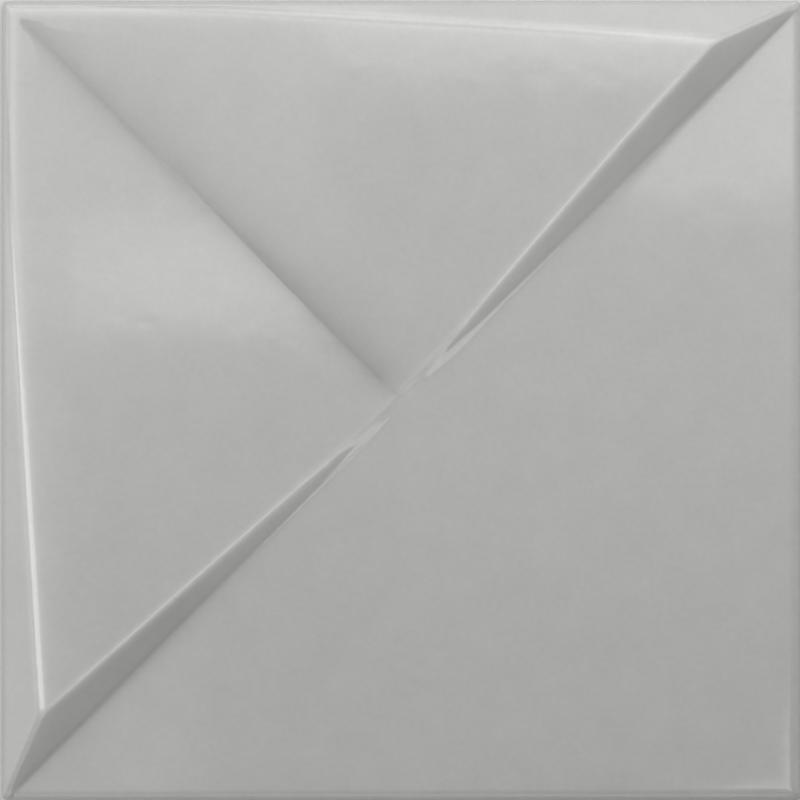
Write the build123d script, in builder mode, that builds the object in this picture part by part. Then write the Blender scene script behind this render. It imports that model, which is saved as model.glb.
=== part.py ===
"""Ceramic wall tile with two folded-paper ridges, lying on its back.

The tile is one fired piece. Its face is split by the diagonal from the bottom-left corner
to the top-right one: the lower-right half is flat, and the upper-left half carries two long
folds, mirror images of each other about the other diagonal.

Frame: millimetres, origin at the centre of the bedding plane, +Z out of the glazed face,
+X to the right and +Y up as the tile is seen on a wall.
"""

import os
from math import cos, radians, sin, tan

from build123d import *

os.makedirs("parts", exist_ok=True)

# Outline and body
side = 150.0            # work size of the square tile
body_thickness = 7.5    # flat half, from the bedding plane to the glaze
plan_corner = 1.0       # rounding of the four upright edges
rim_radius = 2.8        # rounding of the face's edges, where the glaze pools
back_chamfer = 0.4      # small bevel round the back, left by the press tool

# Folds
fold_height = 7.0       # peak of a fold above the flat half, before it is rounded
peak_from_side = 7.7    # plan distance from a peak to the side that its fold leans on
peak_from_end = 16.1    # plan distance from a peak to the side where its fold ends
foot_shift = 0.6        # distance of the folds' straight foot from the tile's diagonal
ridge_radius = 2.4      # rounding of every ridge under the glaze
end_slope = 60.0        # slope of a fold's blunt end, in degrees
end_sink = 0.15         # how far inside the edge's rounding that slope dives

# Keyed back
pocket_side = 18.0      # square recess at the bedding plane
rib_width = 4.0         # rib between two recesses
pocket_depth = 0.8
pocket_count = 6        # recesses along each side, even so that two ribs cross at the centre
pocket_draft = 30.0     # slope of a recess's walls, in degrees

half = side / 2
pocket_pitch = pocket_side + rib_width
face_height = body_thickness + fold_height

# Corners of the left fold's foot, level with the flat half. The foot follows the diagonal a
# little below it, so its line leaves the tile just under the bottom-left corner.
foot_start = foot_shift * 2 ** 0.5
top_left = Vector(-half, half, body_thickness)
bottom_left = Vector(-half, -half - foot_start, body_thickness)
middle = Vector(foot_start / 2, -foot_start / 2, body_thickness)
left_peak = Vector(peak_from_side - half, peak_from_end - half, face_height)

# The left fold's blunt end: a slope that runs down just inside the rounding of the bottom
# edge, and an upright face from where it would leave that rounding again
end_angle = radians(end_slope)
end_foot = rim_radius * (1 - tan(end_angle / 2)) + end_sink
end_depth = rim_radius * (1 - sin(end_angle)) + end_sink
end_plane = Plane(
    origin=(0, end_foot - half, body_thickness),
    z_dir=(0, -sin(end_angle), cos(end_angle)),
)
end_wall = Plane(origin=(0, end_depth - half, 0), z_dir=(0, -1, 0))


def plane_through(first, second, third):
    """Plane through three points, with its normal pointing upwards."""
    normal = (second - first).cross(third - first).normalized()
    if normal.Z < 0:
        normal = -normal
    return Plane(origin=first, x_dir=(second - first).normalized(), z_dir=normal)


def edges_at(body, point):
    """Edges of a body that end at the vertex nearest to a point."""
    corner = body.vertices().sort_by_distance(point)[0]
    return [edge for edge in body.edges() if edge.distance_to(corner) < 1e-6]


# The folds mirror each other about the diagonal from the top-left corner, their valley
mirror_plane = Plane(origin=(0, 0, 0), z_dir=(1, 1, 0))

# Left fold: the block under three planes that meet at the peak and beside the tile's left
# side. It is far deeper and longer than the tile, so that its rounded edges run out of it.
with BuildPart() as left_fold:
    with BuildSketch(Plane.XY.offset(-side)):
        with Locations((side - half, 0)):
            Rectangle(2 * side, 4 * side)
    extrude(amount=2 * side)
    for start, end in ((top_left, bottom_left), (bottom_left, middle), (middle, top_left)):
        split(bisect_by=plane_through(start, end, left_peak), keep=Keep.BOTTOM)
    ridges = set()
    for corner in (left_peak, top_left, bottom_left):
        ridges.update(edges_at(left_fold, corner))
    fillet(ridges, radius=ridge_radius)
    for limit in (mirror_plane, end_plane, end_wall):
        split(bisect_by=limit, keep=Keep.BOTTOM)

with BuildPart() as wall_tile:
    with BuildSketch():
        Rectangle(side, side)
    extrude(amount=body_thickness)
    fillet(wall_tile.faces().sort_by(Axis.Z)[-1].edges(), radius=rim_radius)

    # Both folds, kept inside the outline
    add(left_fold.part)
    mirror(left_fold.part, about=mirror_plane)
    with BuildSketch():
        RectangleRounded(side, side, plan_corner)
    extrude(amount=face_height, mode=Mode.INTERSECT)

    # Keyed back
    chamfer(wall_tile.faces().sort_by(Axis.Z)[0].edges(), length=back_chamfer)
    with BuildSketch():
        with GridLocations(pocket_pitch, pocket_pitch, pocket_count, pocket_count):
            Rectangle(pocket_side, pocket_side)
    extrude(amount=pocket_depth, taper=pocket_draft, mode=Mode.SUBTRACT)

wall_tile.part.label = "wall_tile"
export_step(wall_tile.part, "parts/wall_tile.step")
print("wall_tile", round(wall_tile.part.volume), "mm3", wall_tile.part.bounding_box().size)
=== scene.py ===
# %% [markdown]
# # A glazed wall tile with two folds
#
# The object is one ceramic tile, pressed from clay, glazed on its face and fired. Half of the
# face is flat. The other half is pressed into two long folds, like a sheet of paper that was
# creased and opened again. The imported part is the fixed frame: it gives the tile's place and
# its outer size, and the surface made here stays inside its box.

import bpy
import numpy as np
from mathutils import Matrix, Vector


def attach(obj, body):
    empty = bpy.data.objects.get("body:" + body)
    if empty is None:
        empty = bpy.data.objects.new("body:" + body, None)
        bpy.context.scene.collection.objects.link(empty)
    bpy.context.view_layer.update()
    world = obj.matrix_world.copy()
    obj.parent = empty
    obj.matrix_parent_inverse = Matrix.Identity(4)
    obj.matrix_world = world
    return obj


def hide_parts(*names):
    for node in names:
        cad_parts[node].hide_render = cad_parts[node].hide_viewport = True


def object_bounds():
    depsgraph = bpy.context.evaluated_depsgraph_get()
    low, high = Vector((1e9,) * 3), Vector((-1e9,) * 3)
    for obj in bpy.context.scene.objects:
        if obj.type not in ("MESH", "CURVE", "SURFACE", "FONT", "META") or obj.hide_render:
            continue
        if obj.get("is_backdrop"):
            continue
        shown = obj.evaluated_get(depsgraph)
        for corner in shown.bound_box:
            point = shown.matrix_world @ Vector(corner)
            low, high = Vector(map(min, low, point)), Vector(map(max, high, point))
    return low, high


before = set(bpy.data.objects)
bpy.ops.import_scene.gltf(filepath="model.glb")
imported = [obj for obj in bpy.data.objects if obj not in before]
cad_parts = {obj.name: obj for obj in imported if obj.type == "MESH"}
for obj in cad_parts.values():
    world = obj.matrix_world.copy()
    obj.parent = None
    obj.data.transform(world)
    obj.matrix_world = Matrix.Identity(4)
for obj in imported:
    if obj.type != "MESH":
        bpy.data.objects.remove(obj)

cad_low, cad_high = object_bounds()
print("nodes in the frame:", list(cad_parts))
print("packed box in mm:", [round(1000 * size, 2) for size in cad_high - cad_low])

# %% [markdown]
# ## Sizes
#
# Lengths are in millimetres, the unit of a tile maker's drawing, and heights are counted from
# the flat half of the face. The numbers become metres only when the mesh is handed over.

# %% Sizes of the tile
MM = 0.001
ROOT2 = 2 ** 0.5
side = (cad_high.x - cad_low.x) / MM
half = side / 2
body_thickness = 7.5
fold_height = 6.965
peak_from_side = 7.7
peak_from_end = 16.1
foot_shift = 0.55
edge_radius = 2.5
wall_top_radius = 1.5
wall_end_radius = 1.0
back_chamfer = 0.4
foot_start = foot_shift * ROOT2
peak = np.array([peak_from_side - half, peak_from_end - half, fold_height])
top_corner = np.array([-half, half, 0.0])
bottom_corner = np.array([-half, -half - foot_start, 0.0])
middle = np.array([foot_start / 2, -foot_start / 2, 0.0])
peak_away = -(peak[0] + peak[1]) / ROOT2
corner_away = half * ROOT2
wall_width = foot_shift - (peak[0] - peak[1]) / ROOT2
print("side", round(side, 3), "mm, left fold's peak at", peak)

# %% [markdown]
# ## The face as a formula
#
# A fold is three flat facets that meet at a peak: a wide flap, a narrow bevel towards the edge
# of the tile, and a wall along the diagonal. Glaze rounds every ridge between them. A Bevel
# modifier could round a simple cage, but it can't grade the wide, shallow pool of glaze in the
# valley, so the height of the face is worked out for any point of the plan.
#
# A rounded ridge is the lowest of all the planes that touch a ball nested under it. So a few
# hundred planes, with normals spread between those of the three facets, give the three ridges
# and the rounded peak at once. The outer ridge is the bluntest, and the ridges round the wall
# are tighter, so each ridge has its own ball and the peak blends them.

# %% Facets and the planes that round them
def unit(vector):
    return vector / np.linalg.norm(vector)


def upward_normal(first, second, third):
    normal = unit(np.cross(second - first, third - first))
    return normal if normal[2] > 0 else -normal


def touching_planes(normals, point, radii, steps=26):
    """Planes that touch the balls nested under three facets. Each radius is for one ridge."""
    to_nest = np.linalg.solve(normals, np.ones(3))
    planes = []
    for first in range(steps + 1):
        for second in range(steps + 1 - first):
            share = np.array([first, second, steps - first - second]) / steps
            normal = unit(share @ normals)
            pairs = share * np.roll(share, -1) + 1e-9
            radius = pairs @ radii / pairs.sum()
            planes.append([*normal, normal @ point - radius * (normal @ to_nest - 1)])
    return np.array(planes)


facets = np.array([
    upward_normal(top_corner, middle, peak),
    upward_normal(top_corner, bottom_corner, peak),
    upward_normal(bottom_corner, middle, peak),
])
ridge_radii = np.array([edge_radius, wall_end_radius, wall_top_radius])
fold_planes = touching_planes(facets, peak, ridge_radii)
for name, normal in zip(("flap", "bevel", "wall"), facets):
    print(name, "slopes", round(float(np.degrees(np.arccos(normal[2]))), 1), "degrees")

# %% [markdown]
# ## Soft inside corners
#
# Glaze also fills inside corners: the foot of each wall is a small hollow and not a sharp
# line. Where two surfaces meet in such a corner, the face is the higher of the two. A soft
# maximum blends them where they come close, which is simpler than finding where they cross.

# %% A soft maximum
def soft_max(first, second, reach):
    """The larger of two heights, blended where they differ by less than the reach."""
    overlap = np.clip(reach - np.abs(first - second), 0, None)
    return np.maximum(first, second) + overlap ** 2 / (4 * reach)


print("soft maximum of 1.0 and 1.1:", round(float(soft_max(1.0, 1.1, 0.3)), 3))

# %% [markdown]
# ## Walls that grow wider
#
# The walls aren't quite the flat facets of folded paper. Between the peaks and the middle of
# the tile they are up to a millimetre wider, and so a little gentler. The right-hand wall
# keeps its extra width almost up to its peak, and the left one loses it evenly. More facets
# could follow that, but it is simpler to find the spot of the plain fold that each point of
# the wider wall stands for, and to take the height there.

# %% From the wider wall to the plain one
wall_widening = 1.05
widening_power = 6
foot_pull = 0.3


def before_widening(inwards, away, on_right):
    """Where a point of the widened wall lies on the plain one, inwards from the wall's foot."""
    share = np.clip(away / peak_away, 0, 1)
    past_peak = (corner_away - away) / (corner_away - peak_away)
    plain = wall_width * np.clip(np.minimum(share, past_peak), 0.001, 1)
    wider = wall_widening * (1 - share ** np.where(on_right, widening_power, 1))
    foot = foot_pull * on_right * (1 - share)
    on_wall = (inwards - foot) * plain / (plain + wider - foot)
    return np.where(inwards < foot, inwards - foot, np.maximum(on_wall, inwards - wider))


halfway_width = (wall_width + wall_widening) / 2
print("the left wall is", round(halfway_width, 2), "mm wide halfway to its peak")

# %% [markdown]
# ## Two folds from one formula
#
# The second fold mirrors the first about the diagonal from the top-left corner. So the plan is
# folded over at that diagonal and the left fold's formula serves both. Folding over with a
# rounded absolute value, instead of a sharp one, fills the valley with glaze. Beside the
# valley the upper fold is also slightly hollow, most of all 6 mm away from it.

# %% Height of the folds
valley_softness = 0.3
valley_depth = 0.42
valley_reach = 6.0


def fold_surface(x, y, sunk):
    """Height of the two folds, which goes below zero beyond their feet."""
    along, over = (x - y) / ROOT2, (x + y) / ROOT2
    away = np.sqrt(over ** 2 + valley_softness ** 2)
    along = foot_shift - before_widening(foot_shift - along, away, over > 0)
    x, y = (along - away) / ROOT2, (-along - away) / ROOT2
    lowest = np.full(x.shape, np.inf)
    for nx, ny, nz, offset in fold_planes:
        lowest = np.minimum(lowest, (offset - sunk - nx * x - ny * y) / nz)
    upper = (over + away) / (2 * valley_reach)
    return lowest - valley_depth * upper * np.exp(-upper)


print("hollow of the upper fold:", round(valley_depth / np.e, 3), "mm deep at most")

# %% [markdown]
# ## The flat half
#
# The folds and the flat half meet at the foot of the walls. Under the folds the flat half's
# own plane bends down and out of their way. On the open side a thin pool of glaze lies along
# the foot. The hollow in the corner is widest some 13 mm from the middle of the tile, where
# the wall is thin as a blade, and narrowest at the middle itself.

# %% Height of folds and flat half together
foot_softness = 0.3
blade_softness = 0.4
blade_place = 13.0
blade_reach = 9.0
neck_reach = 6.0
neck_narrowing = 0.75
foot_pool = 0.09
foot_pool_reach = 0.8
pool_rise = 15.0
under_slope = 0.3
under_ramp = 3.0


def open_surface(x, y, sunk=0.0):
    """Height of the face before its edges are rounded, or of a surface sunk evenly below it."""
    under = np.clip(foot_shift - (x - y) / ROOT2, 0, None)
    ramp = np.minimum(under, under_ramp)
    ground = -under_slope * (ramp ** 2 / (2 * under_ramp) + under - ramp)
    from_middle = np.abs(x + y) / ROOT2
    outwards = np.clip((x - y) / ROOT2 - foot_shift, 0, None)
    wall_here = np.clip(np.minimum(from_middle, corner_away - from_middle) / pool_rise, 0, 1)
    ground = ground + foot_pool * wall_here * np.exp(-outwards / foot_pool_reach)
    blade = np.exp(-((from_middle - blade_place) / blade_reach) ** 2)
    neck = np.exp(-(from_middle / neck_reach) ** 2)
    reach = (foot_softness + blade_softness * blade) * (1 - neck_narrowing * neck)
    return soft_max(fold_surface(x, y, sunk), ground - sunk, reach)


probe = np.array([[-60.0, 60.0], [40.0, -40.0], [-66.0, -57.0]])
print("heights at a valley, flat and peak point:", open_surface(*probe.T).round(2))

# %% [markdown]
# ## The outline
#
# A pressed tile has no sharp corners in plan. The distance to its outline is a soft minimum of
# the distances to its straight sides, so the corners come out rounded. The same distance,
# taken a little to each side of a point, also tells which way the inside lies.

# %% Distance to the outline
corner_softness = 1.2
probe_step = 0.05


def outline_distance(x, y):
    """Distance from a point of the plan to the outline, and the direction inwards."""
    def distance(px, py):
        return -soft_max(np.abs(px) - half, np.abs(py) - half, corner_softness)

    dx = distance(x + probe_step, y) - distance(x - probe_step, y)
    dy = distance(x, y + probe_step) - distance(x, y - probe_step)
    length = np.hypot(dx, dy) + 1e-12
    return distance(x, y), dx / length, dy / length


corner_cut = -ROOT2 * outline_distance(np.array(half), np.array(half))[0]
print("the rounding takes", round(float(corner_cut), 2), "mm off a corner")

# %% [markdown]
# ## The edges of the face
#
# Along its edges the face turns down into the sides. The turn is a ball again, nested between
# the upright side and the face, which may be flat there or rise as a bevel. Where the folds
# end in tips thinner than the ball, it can't be nested, and the turn follows the slope of the
# face itself. A Bevel modifier on the outline would need the same radius everywhere and
# overlap itself at those tips.

# %% Edges at the tips of the folds
tip_zone = 57.0
tip_probe = 0.25
tip_softness = 0.3


def edge_drop(reach, slope):
    """How far the ball's turn lies below a plane of this slope, from where they touch outwards."""
    secant = np.sqrt(1 + slope ** 2)
    left_over = edge_radius - reach
    turn = np.sqrt(np.clip(edge_radius ** 2 - left_over ** 2, 0, None))
    drop = edge_radius * secant - left_over * slope - turn
    return np.where(reach < edge_radius * (1 - slope / secant), drop, 0)


def tip_height(x, y):
    """Height of the finished face where the folds taper to tips thinner than the ball."""
    reach, nx, ny = outline_distance(x, y)
    ahead = open_surface(x + nx * tip_probe, y + ny * tip_probe)
    behind = open_surface(x - nx * tip_probe, y - ny * tip_probe)
    slope = soft_max((ahead - behind) / (2 * tip_probe), 0, tip_softness)
    return open_surface(x, y) - edge_drop(reach, slope)


print("a level edge drops", round(float(edge_drop(0.0, 0.0)), 2), "mm at the outline")

# %% [markdown]
# ## The finished face
#
# The ball's centre lies on a copy of the face that is sunk by the ball's radius, so the face's
# own formula gives it. The last few millimetres of the face also sag by a fifth of a
# millimetre, because glaze draws back from an edge.

# %% Height of the finished face
sag_depth = 0.2
sag_reach = 5.6


def face_height(x, y):
    """Height of the finished face above the flat half."""
    reach, nx, ny = outline_distance(x, y)
    ball_x, ball_y = x + nx * (edge_radius - reach), y + ny * (edge_radius - reach)
    ahead = open_surface(ball_x + nx * probe_step, ball_y + ny * probe_step, edge_radius)
    behind = open_surface(ball_x - nx * probe_step, ball_y - ny * probe_step, edge_radius)
    slope = (ahead - behind) / (2 * probe_step)
    centre = open_surface(ball_x, ball_y, edge_radius)
    drop = np.clip(edge_radius ** 2 - (edge_radius - reach) ** 2, 0, None)
    turning = reach < edge_radius * (1 - slope / np.sqrt(1 + slope ** 2))
    height = np.where(turning, centre + np.sqrt(drop), open_surface(x, y))
    sag = sag_depth * np.clip(1 - reach / sag_reach, 0, None) ** 2
    return np.where((y < -tip_zone) | (x > tip_zone), tip_height(x, y), height) - sag


edge_probe = np.array([-half, 0.0, half, 0.0]), np.array([0.0, -half, 0.0, half])
print("height at the left, bottom, right, top edge:", face_height(*edge_probe).round(2))

# %% [markdown]
# ## Where the vertices go
#
# A square grid would cross the ridges at a slant and show it as little steps in the
# reflections. Here the vertices lie on rays from the middle of the tile, where the valley, the
# ridges and the foot of the walls all meet, and on loops round it. One loop runs along the
# outer ridges of both folds. Rays and loops crowd together where the surface bends, and
# spread out over the flat facets.

# %% Uneven steps
def spread(start, stop, first_step, last_step, widest, growth=0.12):
    """Places from start to stop, with short steps near the ends and wide ones between."""
    line = np.linspace(start, stop, 4000)
    near_start = first_step + growth * (line - start)
    near_stop = last_step + growth * (stop - line)
    pace = 1 / np.minimum(widest, np.minimum(near_start, near_stop))
    count = np.concatenate([[0], np.cumsum((pace[1:] + pace[:-1]) / 2 * np.diff(line))])
    places = np.linspace(0, count[-1], int(np.ceil(count[-1])) + 1)
    return np.interp(places, count, line)


print("steps along 10 mm:", np.diff(spread(0, 10, 0.2, 0.2, 1.5)).round(2))

# %% Outline and inner loop
loop_inset = 0.8


def chain_x(y):
    """Plan line of the left fold's outer ridges, kept a little inside the outline."""
    upper = -half + peak_from_side * (half - y) / (half - peak[1])
    lower = peak[0] + (y - peak[1]) * peak_from_side / (peak[1] - bottom_corner[1])
    return np.maximum(np.where(y > peak[1], upper, lower), loop_inset - half)


inner_top = half - loop_inset
inner_bottom = edge_radius - half
inner_left = float(chain_x(np.array(inner_bottom)))


def half_loops(travel):
    """Outline and inner loop from the top-left corner down, then right along the bottom."""
    down = np.clip(travel / side, 0, 1)
    right = np.clip(travel / side - 1, 0, 1)
    outer = np.stack([-half + side * right, half - side * down], axis=1)
    y = inner_top + (inner_bottom - inner_top) * down
    on_left = travel <= side
    x = np.where(on_left, chain_x(y), inner_left + (-inner_bottom - inner_left) * right)
    return outer, np.stack([x, y], axis=1)


print("the inner loop starts", loop_inset, "mm inside the outline")

# %% [markdown]
# ### The rays
#
# Each ray runs from the outline through the inner loop to the middle. Half of them are laid
# out, closest round the peak and the foot of the wall, and the other half mirrors them. The
# outline is then moved onto its rounded corners in a few rounds.

# %% Rays
settle_rounds = 8


def mirrored(points):
    """The same points beyond the diagonal, in the order that goes on round the loop."""
    return -points[-2:0:-1, ::-1]


peak_travel = side * (inner_top - peak[1]) / (inner_top - inner_bottom)
foot_x = inner_bottom + foot_start
foot_travel = side * (1 + (foot_x - inner_left) / (-inner_bottom - inner_left))
travel = np.concatenate([
    spread(0, peak_travel, 0.25, 0.22, 1.9)[:-1],
    spread(peak_travel, side, 0.22, 0.3, 0.42)[:-1],
    spread(side, foot_travel, 0.25, 0.22, 0.3)[:-1],
    spread(foot_travel, 2 * side, 0.22, 0.25, 2.2),
])
outer_half, inner_half = half_loops(travel)
outer = np.concatenate([outer_half, mirrored(outer_half)])
inner = np.concatenate([inner_half, mirrored(inner_half)])
for _ in range(settle_rounds):
    gap, nx, ny = outline_distance(*outer.T)
    outer = outer - gap[:, None] * np.stack([nx, ny], axis=1)
print(len(outer), "rays, outline off by", float(np.abs(gap).max()), "mm at most")

# %% [markdown]
# ## Building the face
#
# Near the middle the rays come so close together that they would make slivers, so each loop
# keeps only the rays that are far enough from their neighbours. A strip between two loops is
# then filled with quads, and with small fans where a ray ends.

# %% Points, strips and thinning
closest_rays = 0.13
vertices = []
faces = []


def add_points(plan, height):
    """Adds points to the mesh and gives their numbers."""
    first = len(vertices)
    vertices.extend(zip(plan[:, 0], plan[:, 1], height))
    return np.arange(first, first + len(plan))


def add_strip(outer_numbers, inner_numbers, outer_rays, inner_rays):
    """Fills the strip between two loops. The inner loop's rays are among the outer one's."""
    places = {ray: place for place, ray in enumerate(outer_rays)}
    count = len(outer_rays)
    for place, ray in enumerate(inner_rays):
        here, there = inner_numbers[place], inner_numbers[(place + 1) % len(inner_rays)]
        start = places[ray]
        stop = places[inner_rays[(place + 1) % len(inner_rays)]]
        stop = stop if stop > start else stop + count
        run = [outer_numbers[spot % count] for spot in range(start, stop + 1)]
        split = len(run) // 2 - 1
        faces.extend((run[spot], run[spot + 1], here) for spot in range(split))
        faces.append((here, run[split], run[split + 1], there))
        faces.extend((run[spot], run[spot + 1], there) for spot in range(split + 1, len(run) - 1))


def well_apart(rays, plan):
    """The rays that stay when each has to be far enough from the last one kept."""
    kept = [0]
    for place in range(1, len(rays)):
        if np.hypot(*(plan[place] - plan[kept[-1]])) >= closest_rays:
            kept.append(place)
    return kept


print("neighbours on a loop stay at least", closest_rays, "mm apart")

# %% [markdown]
# ### The rim
#
# The rim is the strip between the outline and the inner loop, where the face turns down. Its
# steps are short at both ends, where the turn starts and where it stands upright.

# %% Rim of the glazed face
rim_steps = 30
rim_shares = (1 - np.cos(np.pi * np.arange(rim_steps) / rim_steps)) / 2
rays = list(range(len(outer)))
outline_height = face_height(*outer.T)
outline_numbers = add_points(outer, outline_height)
numbers = outline_numbers
for share in rim_shares[1:]:
    plan = outer + (inner - outer) * share
    next_numbers = add_points(plan, face_height(*plan.T))
    add_strip(numbers, next_numbers, rays, rays)
    numbers = next_numbers
print("rim:", len(vertices), "vertices in", rim_steps, "loops")

# %% The face inside the rim
shares = spread(0.3, half, 0.15, 0.22, 1.5, 0.05)[::-1] / half
centre = middle[:2]
for share in shares:
    plan = centre + (inner[rays] - centre) * share
    kept = well_apart(rays, plan)
    next_rays = [rays[place] for place in kept]
    next_numbers = add_points(plan[kept], face_height(*plan[kept].T))
    add_strip(numbers, next_numbers, rays, next_rays)
    rays, numbers = next_rays, next_numbers
pole = add_points(centre[None, :], face_height(*centre[:, None]))[0]
after = np.roll(numbers, -1)
faces.extend((here, there, pole) for here, there in zip(numbers, after))
print("glazed face:", len(vertices), "vertices,", len(faces), "faces")

# %% [markdown]
# ## The edge of the glaze
#
# The tile was glazed lying face up. Glaze ran more than half way down the sides and stopped in
# an uneven line, where the bare clay begins. The line is a sum of waves round the tile, long
# and short ones with random strengths, because a run of liquid has no single wavelength.

# %% Line where the glaze ends
glaze_line = -4.7
glaze_line_limits = (-5.9, -3.6)
wander_waves = (3, 7, 12, 19, 31, 47, 76, 118)
wander_height = 0.32
rng = np.random.default_rng(41)

ray_angle = np.unwrap(np.arctan2(outer[:, 1], outer[:, 0]))
wander = np.zeros(len(outer))
for waves in wander_waves:
    wander += rng.uniform(0.5, 1.0) * np.sin(waves * ray_angle + rng.uniform(0, 6.3)) / waves ** 0.6
wander *= wander_height / wander.std()
line_height = np.clip(glaze_line + wander, *glaze_line_limits)
print("glaze line between", line_height.min().round(2), "and", line_height.max().round(2), "mm")

# %% [markdown]
# ## The sides
#
# The sides continue the rays of the face downwards, loop by loop. Just above the line the
# glaze curls in, and the bare clay below it is set back by the thickness of the glaze. The
# last two loops make the small bevel that keeps the back's edge from chipping.

# %% Sides of the tile
glaze_depth = 0.14
lip_start = 0.25
lip_stop = 0.1
lip_inset = 0.02
bend_place = 0.4
back_height = -body_thickness

_, inward_x, inward_y = outline_distance(*outer.T)
inward = np.stack([inward_x, inward_y], axis=1)
every_ray = list(range(len(outer)))
glaze_share = [1.0] * len(vertices)


def add_side_row(height, inset, share, above):
    """Adds one loop of the side and joins it to the loop above."""
    row = add_points(outer + inward * inset, np.broadcast_to(height, len(outer)))
    glaze_share.extend([share] * len(row))
    add_strip(row, above, every_ray, every_ray)
    return row


row = outline_numbers
row = add_side_row(outline_height * (1 - bend_place) + line_height * bend_place, 0.0, 1.0, row)
row = add_side_row(line_height + lip_start, 0.0, 1.0, row)
row = add_side_row(line_height + lip_stop, lip_inset, 1.0, row)
row = add_side_row(line_height, glaze_depth, 0.0, row)
row = add_side_row(back_height + back_chamfer, glaze_depth, 0.0, row)
back_loop = add_side_row(back_height, glaze_depth + back_chamfer, 0.0, row)
print("face and sides:", len(vertices), "vertices")

# %% [markdown]
# ## The pockets of the back
#
# The back has thirty-six square pockets that hold the tile's mortar. They taper, so that the
# pressed clay comes out of the mould. They could be cut out of a flat back, but a grid with
# lines at the walls of the pockets has no cuts to clean up: its inner points are simply
# lifted. The corner of a pocket is the one place where a grid cell bends, so there it is
# split in two along the pocket's own edge.

# %% Back with its pockets
pocket_side = 18.0
rib_width = 4.0
pocket_depth = 0.8
pocket_draft = 30.0
pocket_count = 6
back_margin = 1.6

pitch = pocket_side + rib_width
floor_half = pocket_side / 2 - pocket_depth * np.tan(np.radians(pocket_draft))
pocket_centres = (np.arange(pocket_count) - (pocket_count - 1) / 2) * pitch
pocket_lines = np.array([-pocket_side / 2, -floor_half, floor_half, pocket_side / 2])
grid_edge = half - back_margin
inner_lines = (pocket_centres[:, None] + pocket_lines).ravel()
grid_lines = np.concatenate([[-grid_edge], inner_lines, [grid_edge]])
count = len(grid_lines)
in_floor = np.isin(np.arange(count) % 4, (2, 3)) & (np.arange(count) < count - 1)
grid_x, grid_y = np.meshgrid(grid_lines, grid_lines)
grid_z = back_height + pocket_depth * np.outer(in_floor, in_floor)
grid = add_points(np.stack([grid_x.ravel(), grid_y.ravel()], axis=1), grid_z.ravel())
grid = grid.reshape(count, count)
glaze_share.extend([0.0] * grid.size)

for upper in range(count - 1):
    for left in range(count - 1):
        corners = [(upper, left), (upper + 1, left), (upper + 1, left + 1), (upper, left + 1)]
        cell = [int(grid[corner]) for corner in corners]
        high = [bool(in_floor[i] and in_floor[j]) for i, j in corners]
        if sum(high) == 1:
            turn = high.index(True)
            cell = cell[turn:] + cell[:turn]
            faces.extend([(cell[0], cell[1], cell[2]), (cell[0], cell[2], cell[3])])
        else:
            faces.append(tuple(cell))
print(pocket_count ** 2, "pockets", pocket_side, "mm wide and", pocket_depth, "mm deep")

# %% [markdown]
# ## The seam round the back
#
# The sides come down as a loop of many points and the grid ends in a loop of few. Both are
# walked once round the tile at the same pace, and each step adds the triangle that reaches
# the next point of whichever loop lies behind.

# %% Seam between the back's grid and the sides
grid_loop = np.concatenate([grid[:0:-1, 0], grid[0, :-1], grid[:-1, -1], grid[-1, :0:-1]])


def loop_angles(numbers):
    """How far each vertex of a loop lies round from the top-left corner."""
    x, y = np.array([vertices[number][:2] for number in numbers]).T
    return np.mod(np.arctan2(y, x) - 0.75 * np.pi + 1e-6, 2 * np.pi)


first_angles = np.append(loop_angles(back_loop), 2 * np.pi)
second_angles = np.append(loop_angles(grid_loop), 2 * np.pi)
first, second = 0, 0
while first < len(back_loop) or second < len(grid_loop):
    start = int(back_loop[first % len(back_loop)])
    stop = int(grid_loop[second % len(grid_loop)])
    second_is_next = second < len(grid_loop) and (
        first == len(back_loop) or second_angles[second + 1] < first_angles[first + 1])
    if second_is_next:
        second += 1
        faces.append((start, stop, int(grid_loop[second % len(grid_loop)])))
    else:
        first += 1
        faces.append((start, stop, int(back_loop[first % len(back_loop)])))
print("whole tile:", len(vertices), "vertices,", len(faces), "faces")

# %% [markdown]
# ## Where the glaze lies, and painted shade and highlight
#
# Two values go with every vertex. One says where glaze covers the clay. The other is painted
# shade and painted highlight for the glaze's colour: positive in hollows, where it darkens them,
# and negative on ridges, where it lightens them. Comparing each point with the mean height round
# it tells hollows from ridges.

# %% Hollows and ridges
compare_radius = 1.3
compare_points = 8
bend_for_one = 0.22
tip_fade = 6.0

points = np.array(vertices)
share = np.array(glaze_share)
face_count = int(np.argmin(share))
face_x, face_y, face_z = points[:face_count].T
mean_height = np.zeros(face_count)
for angle in np.linspace(0, 2 * np.pi, compare_points, endpoint=False):
    near_x = face_x + compare_radius * np.cos(angle)
    near_y = face_y + compare_radius * np.sin(angle)
    mean_height += face_height(near_x, near_y) / compare_points
bend = (mean_height - face_z) / bend_for_one
reach_in = outline_distance(face_x, face_y)[0]
bend *= np.clip((reach_in - compare_radius) / compare_radius, 0, 1)
to_end = np.maximum(-face_y, face_x)
bend = np.where(bend < 0, bend * np.clip((tip_zone - to_end) / tip_fade + 0.5, 0, 1), bend)
print("bend of the face from", bend.min().round(2), "to", bend.max().round(2))

# %% [markdown]
# The valley gets its own painted shade and the flap side of the outer ridges its own painted
# highlight, which reach some millimetres further than the bend of the face shows. Both are laid
# down by the distance from the valley's line or the ridge's line, fading out evenly.

# %% Valley and ridge lines
upper_reach = 3.6
lower_reach = 1.6
middle_fade = 7.0
ridge_highlight = 0.8
ridge_highlight_reach = 2.0
fold_fade = 3.0
hollow_shade_share = 0.25

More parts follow.
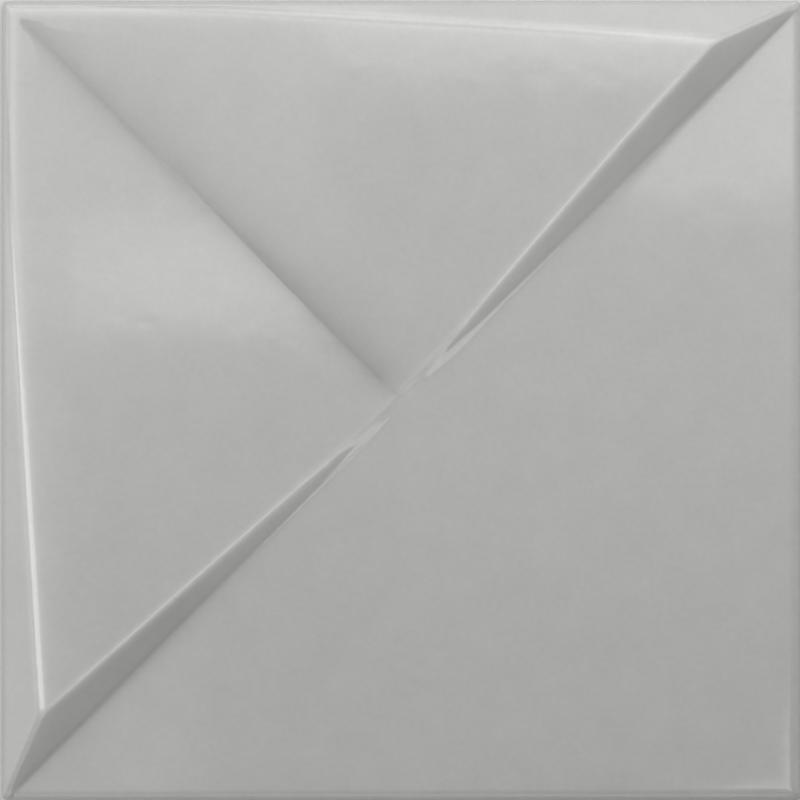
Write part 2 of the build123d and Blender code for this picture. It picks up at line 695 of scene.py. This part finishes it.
over = (face_x + face_y) / ROOT2
from_diagonal = (face_y - face_x) / ROOT2
# Painted shade along the valley, reaching further on the upper fold's side.
valley = np.exp(-np.where(over > 0, over / upper_reach, -over / lower_reach))
valley *= np.clip(from_diagonal / middle_fade, 0, 1)
painted_shade_and_highlight = np.zeros(len(points))
left_x = np.where(over > 0, -face_y, face_x)
left_y = np.where(over > 0, -face_x, face_y)
from_ridge = left_x - chain_x(left_y)
# Painted highlight on the flap side of the outer ridges.
painted_ridge_highlight = ridge_highlight * np.exp(-np.clip(from_ridge, 0, None) / ridge_highlight_reach)
painted_ridge_highlight *= (from_ridge > 0) * np.clip(from_diagonal / fold_fade, 0, 1)
# Positive values are painted shade in hollows, negative ones painted highlight on ridges.
painted_shade_and_highlight[:face_count] = np.where(bend > 0, np.maximum(hollow_shade_share * bend, valley), bend) - painted_ridge_highlight
painted_shade_and_highlight = np.clip(painted_shade_and_highlight, -1, 1)
print("glaze depth from", painted_shade_and_highlight.min().round(2), "to", painted_shade_and_highlight.max().round(2))

# %% [markdown]
# ## From numbers to a mesh
#
# The face is lifted to its height above the floor and turned into metres. Shading is smooth
# but for real corners, such as the edge of the glaze and the pockets.

# %% The tile's mesh
sharp_angle = 35

points[:, 2] += body_thickness
mesh = bpy.data.meshes.new("wall_tile_surface")
mesh.from_pydata((points * MM).tolist(), [], [tuple(map(int, face)) for face in faces])
# The second attribute carries the painted shade and painted highlight for the glaze's colour.
for name, values in (("glaze", share), ("painted_shade_and_highlight", painted_shade_and_highlight)):
    attribute = mesh.attributes.new(name, "FLOAT", "POINT")
    attribute.data.foreach_set("value", values.astype(np.float32))
mesh.shade_smooth()
mesh.set_sharp_from_angle(angle=np.radians(sharp_angle))
tile = bpy.data.objects.new("wall_tile_surface", mesh)
bpy.context.scene.collection.objects.link(tile)
print("mesh was sound:", not mesh.validate(), "- polygons:", len(mesh.polygons))

# %% [markdown]
# ## Sums of shader sockets
#
# The glaze's colour carries painted shade in hollows and painted highlight on ridges, and it is
# mottled all over. Said as nodes, that is a dozen Math nodes and their links. Said as sums, it is
# one line. So a small class wraps a socket and takes part in sums: each operator adds one Math
# node and gives its output back, wrapped again. The same class adds any other node, from its
# type, its settings, and the values or links of its sockets.

# %% Shader values as expressions
class Value:
    """A shader socket that takes part in sums like a number."""

    def __init__(self, socket):
        self.socket = socket

    @staticmethod
    def node(tree, kind, settings, inputs, output=0):
        """Adds a node, with its settings first and then the values or links of its sockets."""
        node = tree.nodes.new(kind)
        for name, setting in settings.items():
            setattr(node, name, setting)
        for name, value in inputs.items():
            if isinstance(value, Value):
                tree.links.new(value.socket, node.inputs[name])
            else:
                node.inputs[name].default_value = value
        return Value(node.outputs[output]) if len(node.outputs) else None

    def sum(self, operation, first, second):
        tree = self.socket.id_data
        return Value.node(tree, "ShaderNodeMath", {"operation": operation}, {0: first, 1: second})

    def __add__(self, other):
        return self.sum("ADD", self, other)

    def __radd__(self, other):
        return self.sum("ADD", other, self)

    def __sub__(self, other):
        return self.sum("SUBTRACT", self, other)

    def __rsub__(self, other):
        return self.sum("SUBTRACT", other, self)

    def __mul__(self, other):
        return self.sum("MULTIPLY", self, other)

    def __rmul__(self, other):
        return self.sum("MULTIPLY", other, self)


print("a Value can be added, subtracted and multiplied, on either side of a number")

# %% [markdown]
# ## One material for glaze and clay
#
# The glaze and the clay meet on one mesh, so one material holds both. Its noise is laid out by
# the place on the tile, in metres, so it has the same grain on the face, the sides and the
# back and needs no unwrapping. The two values of the mesh come in as attributes.

# %% The tile's empty material
def new_material(name):
    material = bpy.data.materials.new(name)
    material.use_nodes = True
    material.node_tree.nodes.clear()
    return material, material.node_tree


tile_material, tree = new_material("glazed_ceramic")
print("material", tile_material.name, "with", len(tree.nodes), "nodes")

# %% Place, attributes, noise and mixing
place = Value.node(tree, "ShaderNodeTexCoord", {}, {}, "Object")
covered = Value.node(tree, "ShaderNodeAttribute", {"attribute_name": "glaze"}, {}, "Fac")
# The mesh's painted shade (positive) and painted highlight (negative).
shade_and_highlight = Value.node(tree, "ShaderNodeAttribute", {"attribute_name": "painted_shade_and_highlight"}, {}, "Fac")


def noise(scale, detail=2.0, roughness=0.5):
    """Noise with this many grains to the metre, by the place on the tile."""
    inputs = {"Vector": place, "Scale": scale, "Detail": detail, "Roughness": roughness}
    return Value.node(tree, "ShaderNodeTexNoise", {"noise_dimensions": "3D"}, inputs)


def mixed(factor, first, second, blend="MIX"):
    """One colour laid over another."""
    settings = {"data_type": "RGBA", "blend_type": blend}
    return Value.node(tree, "ShaderNodeMix", settings, {0: factor, 6: first, 7: second}, 2)


print("three inputs:", [node.name for node in tree.nodes])

# %% [markdown]
# ## The colour of the glaze
#
# The glaze is an opaque light grey. It isn't one flat tone: fine crystals and the clay under it
# make it mottled by a few hundredths, in grains of a tenth of a millimetre up to clouds of two
# centimetres. It could be painted by a texture, but three layers of noise keep the same grain
# on every side of the tile. The mesh's second value paints shade into the valley and the feet of
# the walls and paints a highlight onto the ridges.

# %% Tone and colour of the glaze
glaze_grey = (0.365, 0.365, 0.36, 1)
grain_share, grain_scale = 0.14, 900.0
patch_share, patch_scale = 0.08, 160.0
cloud_share, cloud_scale = 0.05, 45.0
shade_strength = 0.27
highlight_strength = 0.2

grain = grain_share * (noise(grain_scale, 4.0, 0.65) - 0.5)
patches = patch_share * (noise(patch_scale) - 0.5)
clouds = cloud_share * (noise(cloud_scale) - 0.5)
# deep is the painted shade, the positive part of the value; the negative part is painted highlight.
deep = Value.node(tree, "ShaderNodeMath", {"operation": "MAXIMUM"}, {0: shade_and_highlight, 1: 0.0})
painted_highlight = deep - shade_and_highlight
tone = (1 + grain + patches + clouds) * (1 - shade_strength * deep + highlight_strength * painted_highlight)
glaze_colour = mixed(1.0, glaze_grey, tone, "MULTIPLY")
print("the glaze's tone takes", len(tree.nodes), "nodes")

# %% [markdown]
# ## The gloss of the glaze
#
# Fired glaze is glass. It mirrors lamps sharply, and it isn't quite level: it dried and melted
# with a faint orange peel, some 6 mm from wave to wave and a hundredth of a millimetre high.
# That is far too fine for the mesh, so it is a bump. The glass is the Principled shader's own
# specular layer, with the index of refraction of a glaze.

# %% Glass with a faint orange peel
glaze_roughness = 0.1
glaze_ior = 1.52
peel_height = 0.00002
wave_share, wave_scale = 2.0, 160.0
ripple_share, ripple_scale = 0.3, 650.0

peel = wave_share * noise(wave_scale, 1.0) + ripple_share * noise(ripple_scale, 2.0)
glaze_relief = Value.node(tree, "ShaderNodeBump", {}, {
    "Strength": 1.0, "Distance": peel_height, "Height": peel})
glaze = Value.node(tree, "ShaderNodeBsdfPrincipled", {}, {
    "Base Color": glaze_colour, "Roughness": glaze_roughness, "IOR": glaze_ior,
    "Normal": glaze_relief})
print("glaze: roughness", glaze_roughness, "and index of refraction", glaze_ior)

# %% [markdown]
# ## The bare clay
#
# Below the glaze's edge and on the back the fired clay, called the biscuit, stays bare. It is
# matt, porous and buff, with darker grains. One Mix Shader chooses between the two by the
# mesh's own value, so the change lies exactly on the modelled edge of the glaze.

# %% Biscuit, and the choice between the two
clay_light = (0.66, 0.58, 0.48, 1)
clay_dark = (0.52, 0.44, 0.35, 1)
pore_height = 0.0001
pore_scale = 1400.0
clay_grain_scale = 260.0
clay_roughness = 0.9
clay_ior = 1.45

clay_colour = mixed(noise(clay_grain_scale, 5.0, 0.7), clay_dark, clay_light)
clay_relief = Value.node(tree, "ShaderNodeBump", {}, {
    "Strength": 1.0, "Distance": pore_height, "Height": noise(pore_scale, 3.0, 0.7)})
biscuit = Value.node(tree, "ShaderNodeBsdfPrincipled", {}, {
    "Base Color": clay_colour, "Roughness": clay_roughness, "IOR": clay_ior,
    "Normal": clay_relief})
surface = Value.node(tree, "ShaderNodeMixShader", {}, {0: covered, 1: biscuit, 2: glaze})
Value.node(tree, "ShaderNodeOutputMaterial", {}, {"Surface": surface})
mesh.materials.append(tile_material)
print("glazed_ceramic has", len(tree.nodes), "nodes")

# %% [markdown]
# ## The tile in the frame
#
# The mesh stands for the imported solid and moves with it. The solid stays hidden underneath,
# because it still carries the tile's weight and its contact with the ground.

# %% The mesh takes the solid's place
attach(tile, "root")
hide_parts("wall_tile")
print("the tile rides on the root body")

# %% [markdown]
# ## The floor
#
# The tile lies on its back on a plain matt floor. The camera looks straight down and the tile
# fills its picture, so the floor shows only in other views. It is large enough for its edges to
# stay far away, and its grey is near the tile's, so it throws no colour on the glaze.

# %% Plain floor
floor_size = 3.0
floor_grey = (0.5, 0.5, 0.5, 1)
floor_roughness = 0.9

edge = floor_size / 2
floor_mesh = bpy.data.meshes.new("floor")
floor_corners = [(-edge, -edge, 0), (edge, -edge, 0), (edge, edge, 0), (-edge, edge, 0)]
floor_mesh.from_pydata(floor_corners, [], [(0, 1, 2, 3)])
floor = bpy.data.objects.new("floor", floor_mesh)
bpy.context.scene.collection.objects.link(floor)
floor_material, tree = new_material("floor")
floor_shader = Value.node(tree, "ShaderNodeBsdfPrincipled", {}, {
    "Base Color": floor_grey, "Roughness": floor_roughness})
Value.node(tree, "ShaderNodeOutputMaterial", {}, {"Surface": floor_shader})
floor_mesh.materials.append(floor_material)
floor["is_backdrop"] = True
print("floor", floor_size, "m square")

# %% [markdown]
# ## The camera
#
# The tile is seen straight on and its sides don't show, so the camera stands far away with a
# long lens. The picture is as wide as the tile at the height where the face's rounding is
# widest, with a hair to spare. A tiny shift of the camera centres the outline.

# %% Camera above the tile
half_angle = np.radians(2.2)
view_width = 0.1501
outline_level = 0.0055
camera_shift = (-0.00033, 0.00014)
sensor_width = 24.0

camera_data = bpy.data.cameras.new("camera")
camera_data.sensor_width = sensor_width
camera_data.lens = float(sensor_width / 2 / np.tan(half_angle))
camera_data.clip_start = 0.01
camera_data.clip_end = 10.0
camera = bpy.data.objects.new("camera", camera_data)
bpy.context.scene.collection.objects.link(camera)
camera_height = outline_level + float(view_width / 2 / np.tan(half_angle))
camera.location = (*camera_shift, camera_height)
bpy.context.scene.camera = camera
print("lens", round(camera_data.lens), "mm, camera", round(camera_height, 2), "m above the floor")

# %% [markdown]
# ## Light
#
# A glossy grey surface shows its own tone only where it mirrors nothing bright. So the room
# matters more than the amount of light: each facet of the tile mirrors one direction, and the
# lamp that stands there sets how much lighter that facet is. A picture of a room could light
# the tile, but even rectangular lamps say plainly which light makes which reflection. All are
# hidden from the camera, and together they light a sheet of white paper to nearly full white.

# %% The room's own light and a helper for lamps
room_light = 0.15

world = bpy.data.worlds.new("room")
bpy.context.scene.world = world
world.use_nodes = True
background = world.node_tree.nodes["Background"]
background.inputs["Color"].default_value = (1, 1, 1, 1)
background.inputs["Strength"].default_value = room_light


def add_lamp(name, place, target, size, brightness):
    """An even rectangular lamp. A brightness of 1 looks as bright as white paper in the light."""
    data = bpy.data.lights.new(name, "AREA")
    data.shape = "RECTANGLE"
    data.size, data.size_y = size
    data.energy = float(np.pi * size[0] * size[1] * brightness)
    lamp = bpy.data.objects.new(name, data)
    lamp.location = place
    lamp.rotation_euler = (Vector(target) - Vector(place)).to_track_quat("-Z", "Y").to_euler()
    lamp.visible_camera = False
    bpy.context.scene.collection.objects.link(lamp)


print("the room alone gives", room_light, "of the light of a white sky")

# %% [markdown]
# ### Panels overhead
#
# The flat half and the flaps lie almost level, so they mirror what hangs over the tile. Near
# panels, side by side and without overlap, give the flat half its bright upper right corner
# with a soft lower edge, and the left flap its pale patch.

# %% Panels overhead
panel_height = 0.25
panels = [
    ("sky_panel", (-0.043, 0.03), (0.066, 0.34), 0.84),
    ("sky_panel_right", (0.03, 0.34), (0.066, 0.34), 2.42),
    ("sky_panel_edge", (-0.043, 0.03), (0.042, 0.066), 2.35),
    ("sky_panel_corner", (0.03, 0.34), (0.042, 0.066), 2.05),
    ("sky_panel_left", (-0.34, -0.043), (0.042, 0.34), 1.1),
    ("side_panel", (-0.34, -0.043), (-0.34, 0.042), 0.62),
]
for name, across, along, brightness in panels:
    centre_x, centre_y = sum(across) / 2, sum(along) / 2
    size = (across[1] - across[0], along[1] - along[0])
    add_lamp(name, (centre_x, centre_y, panel_height), (centre_x, centre_y, 0), size, brightness)
print(len(panels), "panels", panel_height, "m above the floor")

# %% [markdown]
# ### Sills beside the bevels
#
# The narrow bevels tilt by about 42 degrees, so they mirror what stands low beside the tile.
# Each has two low lamps end to end. The brighter one stands where the bevel is brighter, which
# is towards the corner that both folds share.

# %% Sills
sill_distance = 0.35
sill_height = 0.03
sill_size = (0.3, 0.06)
sill_middle = sill_size[0] / 2
sills = [
    ("left_sill_up", (-sill_distance, sill_middle), (0, sill_middle), 1.74),
    ("left_sill_down", (-sill_distance, -sill_middle), (0, -sill_middle), 1.04),
    ("top_sill_left", (-sill_middle, sill_distance), (-sill_middle, 0), 1.99),
    ("top_sill_right", (sill_middle, sill_distance), (sill_middle, 0), 1.1),
]
for name, spot, aim, brightness in sills:
    add_lamp(name, (*spot, sill_height), (*aim, sill_height), sill_size, brightness)
print(len(sills), "sills", sill_distance, "m from the middle")

# %% [markdown]
# ### A card beyond the flat half
#
# The tops of the walls turn towards the lower right, and near the middle of the tile the walls
# are low and gentle. Both mirror one card that leans over the flat half from that side. It
# makes the thin bright line on the walls' ridges and the two bright tips at the middle.

# %% Card for the walls' ridges
card_rise = np.radians(62)
card_distance = 0.6
card_size = (0.1, 0.29)
card_brightness = 2.2

card_flat = card_distance * np.cos(card_rise) / ROOT2
card_place = (card_flat, -card_flat, card_distance * np.sin(card_rise))
add_lamp("near_card", card_place, (0, 0, 0), card_size, card_brightness)
print("card at", np.round(card_place, 2), "m")

# %% [markdown]
# ### Windows and walls of the room
#
# The rounded ridges sweep through many directions, so each mirrors a whole stack of lights: a
# window's height gives the line's width, and its brightness the line's strength. The walls of
# the room do the same for the tile's rims and the dark sides of the folds, at lower strength.
# Each lamp is placed by its direction from the tile: an angle round it, counted from the right,
# and an angle above the floor.

# %% Windows and walls of the room
lamp_distance = 1.2
lamps = [
    ("left_window_low", 180, 20, (0.25, 0.42), 0.45),
    ("left_window", 180, 41, (0.2, 0.46), 4.4),
    ("left_window_high", 180, 64, (0.2, 0.5), 3.42),
    ("top_window_low", 90, 20, (0.6, 0.42), 0.68),
    ("top_window", 90, 41, (0.5, 0.46), 1.25),
    ("corner_window", 135, 30, (0.6, 0.8), 2.34),
    ("right_wall", 0, 15, (0.8, 0.5), 1.08),
    ("far_corner_wall", 45, 15, (0.6, 0.5), 2.98),
    ("near_corner_wall", 315, 15, (0.6, 0.5), 0.36),
    ("near_wall", 270, 15, (0.8, 0.5), 1.65),
    ("near_left_wall", 225, 15, (0.6, 0.5), 2.71),
]
for name, azimuth, elevation, size, brightness in lamps:
    turn, rise = np.radians(azimuth), np.radians(elevation)
    flat = lamp_distance * np.cos(rise)
    place_of_lamp = (flat * np.cos(turn), flat * np.sin(turn), lamp_distance * np.sin(rise))
    add_lamp(name, place_of_lamp, (0, 0, 0), size, brightness)
bpy.context.scene.view_settings.view_transform = "Standard"
print(len(lamps), "lamps", lamp_distance, "m away")

# %% [markdown]
# ## Size of the finished model
#
# The visible surface has to stay inside the imported solid's box, because others plan with that
# box. So the finished model's box is printed, in millimetres, as its lowest and highest corner.

# %% The model's box
low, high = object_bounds()
print("model box in mm:", [round(1000 * value, 3) for value in (*low, *high)])
